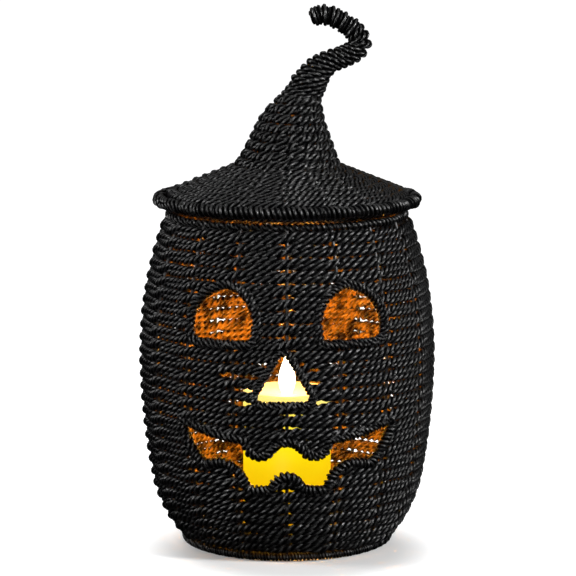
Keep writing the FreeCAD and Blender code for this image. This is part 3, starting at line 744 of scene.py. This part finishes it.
def make_stem():
    """Cord bound tightly round the stem's wire, thinning to a rounded tip."""
    corners = [Vector((across, 0, height)) for across, height in STEM_CORNERS]
    line = rounded(corners, 4, closed=False)
    outs = [Vector((0, -1, 0))] * len(line)
    reach = []
    for number in range(len(line)):
        share = number / (len(line) - 1)
        flare = 7.8 * max(0.0, 1 - (share / 0.26) ** 1.8)
        close = min(1.0, (1 - share) / 0.05 + 0.2)
        reach.append((7.6 - 1.6 * share + flare) * close)
    strand = coil(line, outs, 5.2, reach, 3.2, 11, uneven=0.14)
    cord_piece("cord_stem", "stem_binding", [strand], "lid", materials["ring"], lay=WRAP_LAY)


# ---------------------------------------------------------------- the candle

def spun(name, node, profile, material, steps=96):
    """A piece of the candle turned about the lantern's axis from a profile of radius and height."""
    mesh = bpy.data.meshes.new(name)
    work = bmesh.new()
    verts = [work.verts.new((radius * MM, 0, height * MM)) for radius, height in profile]
    edges = [work.edges.new(pair) for pair in zip(verts, verts[1:])]
    bmesh.ops.spin(work, geom=verts + edges, axis=(0, 0, 1), cent=(0, 0, 0), steps=steps,
                   angle=2 * math.pi, use_merge=True)
    bmesh.ops.remove_doubles(work, verts=work.verts, dist=1e-6)
    bmesh.ops.recalc_face_normals(work, faces=work.faces)
    work.to_mesh(mesh)
    work.free()
    for face in mesh.polygons:
        face.use_smooth = True
    piece = finish_piece(name, mesh, node, "candle", material)
    piece.visible_shadow = False


SHELL_LOW, SHELL_HIGH = node_box("candle_shell")
FLAME_LOW = node_box("candle_flame")[0].z
FLAME_HIGH = node_box("candle_flame")[1].z


def make_candle():
    """The hollow wax shell with its shallow pool, and the flame. Neither shades the light of the flame."""
    radius = SHELL_HIGH.x
    bottom = SHELL_LOW.z
    top = SHELL_HIGH.z
    wall = 4.0
    lip = 2.0
    pool = top - 4.0
    rim = [(radius - lip + lip * math.cos(angle), top - lip + lip * math.sin(angle))
           for angle in (math.pi / 2 * number / 6 for number in range(7))]
    outside = [(radius - wall, bottom + 0.6), (radius - wall, bottom), (radius - 0.8, bottom),
               (radius, bottom + 0.8), (radius, 40), (radius, 80), (radius, 110)]
    dish = [(33, top - 0.4), (31.5, top - 1.6), (28, pool + 0.6), (20, pool), (10, pool - 0.2), (4.6, pool)]
    inside = [(4.6, pool - wall), (radius - wall - 2, pool - wall), (radius - wall, pool - wall - 2),
              (radius - wall, bottom + 0.6)]
    spun("candle_wax", "candle_shell", outside + rim + dish + inside, materials["wax"])
    flame_profile = [(3.1, FLAME_LOW), (7.0, FLAME_LOW), (7.0, FLAME_LOW + 1.6), (4.3, FLAME_LOW + 1.6),
                     (4.3, pool + 1), (6.2, pool + 5), (7.5, pool + 11), (7.0, pool + 17), (5.3, pool + 23),
                     (3.2, pool + 29), (1.4, FLAME_HIGH - 2.5), (0.0, FLAME_HIGH)]
    spun("candle_flame_lit", "candle_flame", flame_profile, materials["flame"], steps=48)


# ---------------------------------------------------------------- build

make_camera()
section = lobed_section()
materials = {
    # inner colours of both cords are painted candle light: gold on the woven cord, nearly black on the bound
    # rings
    "cord": cord_material("black_twisted_paper_cord", "#040405", "#0b0b0b", ("#24170a", "#9a7438"), 0.3),
    "ring": cord_material("black_tight_bound_cord", "#040405", "#0b0b0b", ("#0a0808", "#15110c"), 0.3),
    "wire": painted_wire(),
    "wax": glowing_wax(),
    "flame": flame_material(),
    "plastic": moulded("ivory_moulded_abs", "#d9cfae", "#e6dcc0", 0.42),
    "sleeve": moulded("dark_shrink_sleeve", "#1b1e24", "#262a31", 0.3),
    "board": moulded("green_solder_mask", "#0f3a20", "#17502c", 0.35),
    "lens": moulded("amber_cast_epoxy", "#e8b55a", "#f3cf86", 0.15),
    "metal": plated_metal(),
    "floor": studio_floor(),
}
SLOT_MATERIALS = {"black_cord": "cord", "black_wire": "wire", "candle_wax": "wax", "flame": "flame",
                  "candle_plastic": "plastic", "contact_metal": "metal", "cell_sleeve": "sleeve",
                  "circuit_board": "board", "lamp_lens": "lens"}


def dress_cad_nodes():
    """Give each CAD solid that stays its own finish."""
    for row in frame["record"]["subparts"]:
        thing = frame["nodes"][row["node"]]
        thing.data.materials.clear()
        thing.data.materials.append(materials[SLOT_MATERIALS[row["material_slot"]]])
        if thing["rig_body"] in ("candle", "battery_cover", "switch_knob"):
            thing.visible_shadow = False


def make_stage():
    """A wide white floor, a sky that is bright overhead, three softboxes and the candle's light."""
    floor = bpy.data.meshes.new("floor")
    work = bmesh.new()
    bmesh.ops.create_grid(work, x_segments=1, y_segments=1, size=80.0)
    work.to_mesh(floor)
    work.free()
    floor.materials.append(materials["floor"])
    sheet = bpy.data.objects.new("floor", floor)
    bpy.context.scene.collection.objects.link(sheet)
    sheet.visible_diffuse = False
    sheet.visible_glossy = False
    world = bpy.data.worlds.new("studio")
    bpy.context.scene.world = world
    world.use_nodes = True
    tree = world.node_tree
    way = add_node(tree, "TexCoord").outputs["Generated"]
    height = add_node(tree, "SeparateXYZ", links={"Vector": way}).outputs["Z"]
    softbox = add_node(tree, "MapRange", {"interpolation_type": "SMOOTHSTEP", "From Min": 0.2,
                                          "From Max": 0.95, "To Min": 0.005, "To Max": 0.42}, {"Value": height})
    tree.links.new(softbox.outputs[0], tree.nodes["Background"].inputs["Strength"])
    tree.nodes["Background"].inputs["Color"].default_value = (1, 1, 1, 1)
    area_light("key_light", (1.6, -0.9, 1.1), (0, 0, 0.25), 44, 0.35)
    area_light("rim_light", (-1.6, -0.2, 0.8), (0, 0, 0.25), 17, 0.5)
    area_light("front_light", (-0.5, -2.4, 0.35), (0, 0, 0.2), 11, 0.4)
    glow_light("flame_light", 150, 1.5, 6)
    glow_light("wax_light", 75, 0.6, 25)
    bpy.context.scene.view_settings.view_transform = "Standard"


dress_cad_nodes()
make_weave()
make_base_ring()
make_floor()
bound_ring("top_ring_cord", "top_ring_binding", "lantern", 2.15, 4.4, 3, 0.14, ((-1.0, -4.0, 1.9),))
border("left_eye", EYES["left"], 2.5, 2.6, 4.4, 21)
border("right_eye", EYES["right"], 2.5, 2.6, 4.4, 22)
border("nose", NOSE, 2.0, 2.1, 3.8, 23)
border("mouth", MOUTH, 2.6, 2.6, 4.4, 24)
bound_ring("lid_rim_cord", "lid_rim_binding", "lid", 3.0, 5.1, 1, 0.26, ())
bound_ring("lid_seat_cord", "lid_seat_binding", "lid", 3.0, 4.5, 2, 0.1, ((0.2, -4.7, 2.0), (2.8, -3.2, 2.0)))
make_lid_weave()
make_stem()
make_candle()
make_stage()
bpy.data.objects.remove(section)
